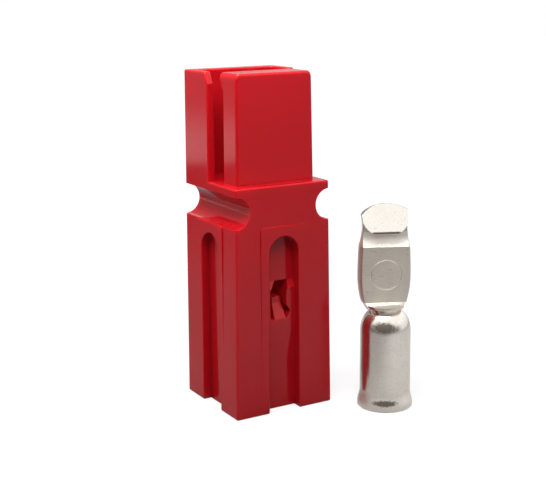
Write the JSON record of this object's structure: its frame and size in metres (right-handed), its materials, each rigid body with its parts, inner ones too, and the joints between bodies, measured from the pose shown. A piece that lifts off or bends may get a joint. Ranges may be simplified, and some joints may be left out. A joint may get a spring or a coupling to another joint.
{
  "type": "genderless power connector",
  "caption": "Genderless single-pole power connector: a drafted square housing with tongue, hood and latch window, with its crimp contact beside it.",
  "frame": {"origin": "centre of the cable bore's mouth, in the surface that the housing stands on", "axes": "+Z along the housing from the cable bore to the mating end, -Y towards the tongue, +Y towards the hood"},
  "size_m": [0.043, 0.0409, 0.08],
  "materials": {
    "housing": "gloss",
    "contact": "silver plated",
    "contact_spring": "plain"
  },
  "bodies": {
    "root": {"housing": "housing", "contact": "contact", "contact_spring": "contact_spring"}
  },
  "joints": []
}
